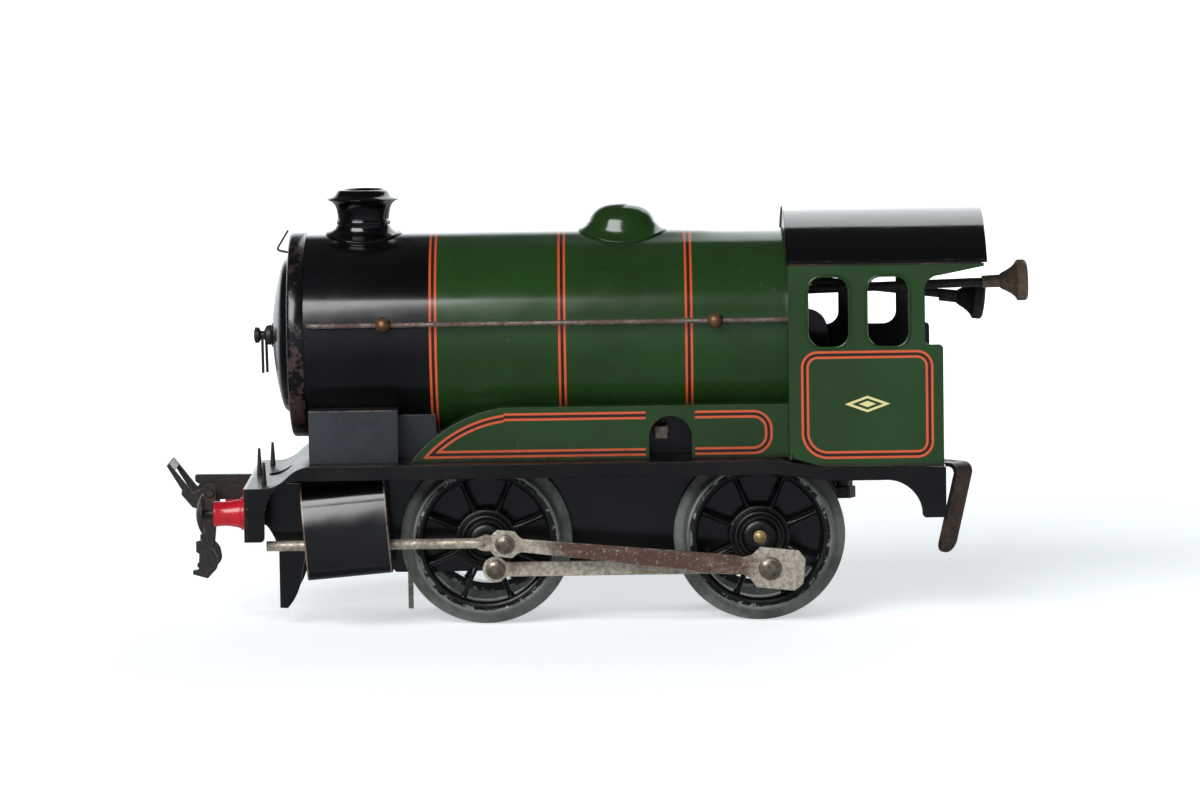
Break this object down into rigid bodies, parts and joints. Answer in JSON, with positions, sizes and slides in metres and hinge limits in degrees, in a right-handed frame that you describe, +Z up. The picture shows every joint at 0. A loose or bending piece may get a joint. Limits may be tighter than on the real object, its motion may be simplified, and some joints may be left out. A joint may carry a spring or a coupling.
{
  "type": "model train",
  "caption": "Vintage tinplate clockwork model steam locomotive with green boiler and cab, black frames, spoked wheels and outside rods.",
  "frame": {"origin": "on the surface the wheels stand on, under the middle of the overall length and width", "axes": "-X towards the smokebox and front coupling, +X towards the cab, -Y the locomotive's left side, +Z up"},
  "size_m": [0.2017, 0.06, 0.1008],
  "materials": {
    "green_enamel": "gloss, lined orange, lightly chipped",
    "black_enamel": "gloss, worn to brown at edges",
    "red_enamel": "gloss, chipped",
    "wheel_casting": "black paint on the spokes, bare grey tread",
    "nickel_plate": "dulled nickel with light rust",
    "spring_steel": "oiled bare steel",
    "dark_steel": "blackened, brown at edges",
    "brass": "tarnished",
    "bronze": "dark, browned"
  },
  "bodies": {
    "root": {"footplate": "black_enamel", "buffer_beam": "red_enamel", "lamp_irons": "black_enamel", "smokebox_lamp_iron": "black_enamel", "smokebox_front": "black_enamel", "smokebox_door_handle": "dark_steel", "boiler_barrel": "green_enamel", "backhead": "green_enamel", "smokebox_saddle": "black_enamel", "chimney": "black_enamel", "dome": "green_enamel", "handrail_knobs": "brass", "handrail_left": "nickel_plate", "handrail_right": "nickel_plate", "cab_shell": "green_enamel", "cab_roof": "black_enamel", "fixing_screws": "dark_steel", "frame_pillars": "dark_steel", "mainspring": "spring_steel", "coupling_hook": "dark_steel", "coupling_pin": "dark_steel", "buffer_stock_left": "red_enamel", "buffer_head_left": "dark_steel", "cylinder_left": "black_enamel", "splasher_left": "green_enamel", "guard_iron_left": "black_enamel", "frame_plate_left": "black_enamel", "buffer_stock_right": "red_enamel", "buffer_head_right": "dark_steel", "cylinder_right": "black_enamel", "splasher_right": "green_enamel", "guard_iron_right": "black_enamel", "frame_plate_right": "black_enamel"},
    "front_wheelset": {"front_axle": "brass", "front_wheel_left": "wheel_casting", "front_wheel_right": "wheel_casting", "front_crank_pins": "nickel_plate"},
    "rear_wheelset": {"rear_axle": "brass", "rear_wheel_left": "wheel_casting", "rear_wheel_right": "wheel_casting", "rear_crank_pins": "nickel_plate", "axle_gear": "brass"},
    "coupling_rod_left_body": {"coupling_rod_left": "nickel_plate"},
    "coupling_rod_right_body": {"coupling_rod_right": "nickel_plate"},
    "connecting_rod_left_body": {"connecting_rod_left": "nickel_plate", "crosshead_pin_left": "nickel_plate"},
    "connecting_rod_right_body": {"connecting_rod_right": "nickel_plate", "crosshead_pin_right": "nickel_plate"},
    "piston_left_body": {"piston_rod_left": "nickel_plate"},
    "piston_right_body": {"piston_rod_right": "nickel_plate"},
    "brake_control": {"brake_rod": "dark_steel", "brake_knob": "bronze"},
    "reverse_control": {"reverse_rod": "dark_steel", "reverse_knob": "dark_steel"},
    "trip_lever_body": {"trip_lever": "spring_steel"},
    "drawbar_body": {"tender_drawbar": "dark_steel"},
    "front_link_body": {"coupling_link": "dark_steel"},
    "winding_shaft": {"winding_arbor": "spring_steel"},
    "great_gear_body": {"great_gear": "brass"},
    "intermediate_gear_body": {"intermediate_gear": "brass"}
  },
  "joints": [
    {"name": "rear_wheels_roll", "type": "hinge", "parent": "root", "child": "rear_wheelset", "pos_m": [0.03749, 0, 0.02], "axis": [0, 1, 0], "continuous": true},
    {"name": "front_wheels_roll", "type": "hinge", "parent": "root", "child": "front_wheelset", "pos_m": [-0.02601, 0, 0.02], "axis": [0, 1, 0], "continuous": true},
    {"name": "coupling_rod_left_turn", "type": "hinge", "parent": "rear_wheelset", "child": "coupling_rod_left_body", "pos_m": [0.03959, -0.0217, 0.01353], "axis": [0, 1, 0], "continuous": true},
    {"name": "connecting_rod_left_turn", "type": "hinge", "parent": "rear_wheelset", "child": "connecting_rod_left_body", "pos_m": [0.03959, -0.02625, 0.01353], "axis": [0, 1, 0], "continuous": true},
    {"name": "piston_left_slide", "type": "slide", "parent": "root", "child": "piston_left_body", "axis": [1, 0, 0], "range_m": [-0.00924, 0.00436]},
    {"name": "coupling_rod_right_turn", "type": "hinge", "parent": "rear_wheelset", "child": "coupling_rod_right_body", "pos_m": [0.04396, 0.0217, 0.0221], "axis": [0, 1, 0], "continuous": true},
    {"name": "connecting_rod_right_turn", "type": "hinge", "parent": "rear_wheelset", "child": "connecting_rod_right_body", "pos_m": [0.04396, 0.02625, 0.0221], "axis": [0, 1, 0], "continuous": true},
    {"name": "piston_right_slide", "type": "slide", "parent": "root", "child": "piston_right_body", "axis": [1, 0, 0], "range_m": [-0.0133, 0.0003]},
    {"name": "brake_control_slide", "type": "slide", "parent": "root", "child": "brake_control", "axis": [0.9996, 0, 0.0279], "range_m": [-0.008, 0]},
    {"name": "reverse_control_slide", "type": "slide", "parent": "root", "child": "reverse_control", "axis": [0.9934, 0, -0.1149], "range_m": [0, 0.008]},
    {"name": "trip_lever_tilt", "type": "hinge", "parent": "root", "child": "trip_lever_body", "pos_m": [-0.04446, 0, 0.024], "axis": [0, 1, 0], "range_deg": [-12, 12]},
    {"name": "drawbar_swing", "type": "hinge", "parent": "root", "child": "drawbar_body", "pos_m": [0.06934, 0, 0.03575], "axis": [0, 0, 1], "range_deg": [-5, 95]},
    {"name": "front_link_swing", "type": "hinge", "parent": "root", "child": "front_link_body", "pos_m": [-0.09096, 0, 0.0305], "axis": [0, 1, 0], "range_deg": [-25, 35]},
    {"name": "winding_turn", "type": "hinge", "parent": "root", "child": "winding_shaft", "pos_m": [0.01494, 0, 0.0448], "axis": [0, 1, 0], "continuous": true},
    {"name": "great_gear_turn", "type": "hinge", "parent": "root", "child": "great_gear_body", "pos_m": [0.01494, -0.0096, 0.0448], "axis": [0, 1, 0], "continuous": true},
    {"name": "intermediate_gear_turn", "type": "hinge", "parent": "root", "child": "intermediate_gear_body", "pos_m": [0.02788, 0, 0.03229], "axis": [0, 1, 0], "continuous": true}
  ],
  "couplings": [
    {"joint": "front_wheels_roll", "follows": "rear_wheels_roll", "ratio": 1},
    {"joint": "coupling_rod_left_turn", "follows": "rear_wheels_roll", "ratio": -1},
    {"joint": "connecting_rod_left_turn", "follows": "rear_wheels_roll", "ratio": -1},
    {"joint": "coupling_rod_right_turn", "follows": "rear_wheels_roll", "ratio": -1},
    {"joint": "connecting_rod_right_turn", "follows": "rear_wheels_roll", "ratio": -1},
    {"joint": "intermediate_gear_turn", "follows": "rear_wheels_roll", "ratio": -0.44444},
    {"joint": "great_gear_turn", "follows": "rear_wheels_roll", "ratio": 0.088889}
  ]
}
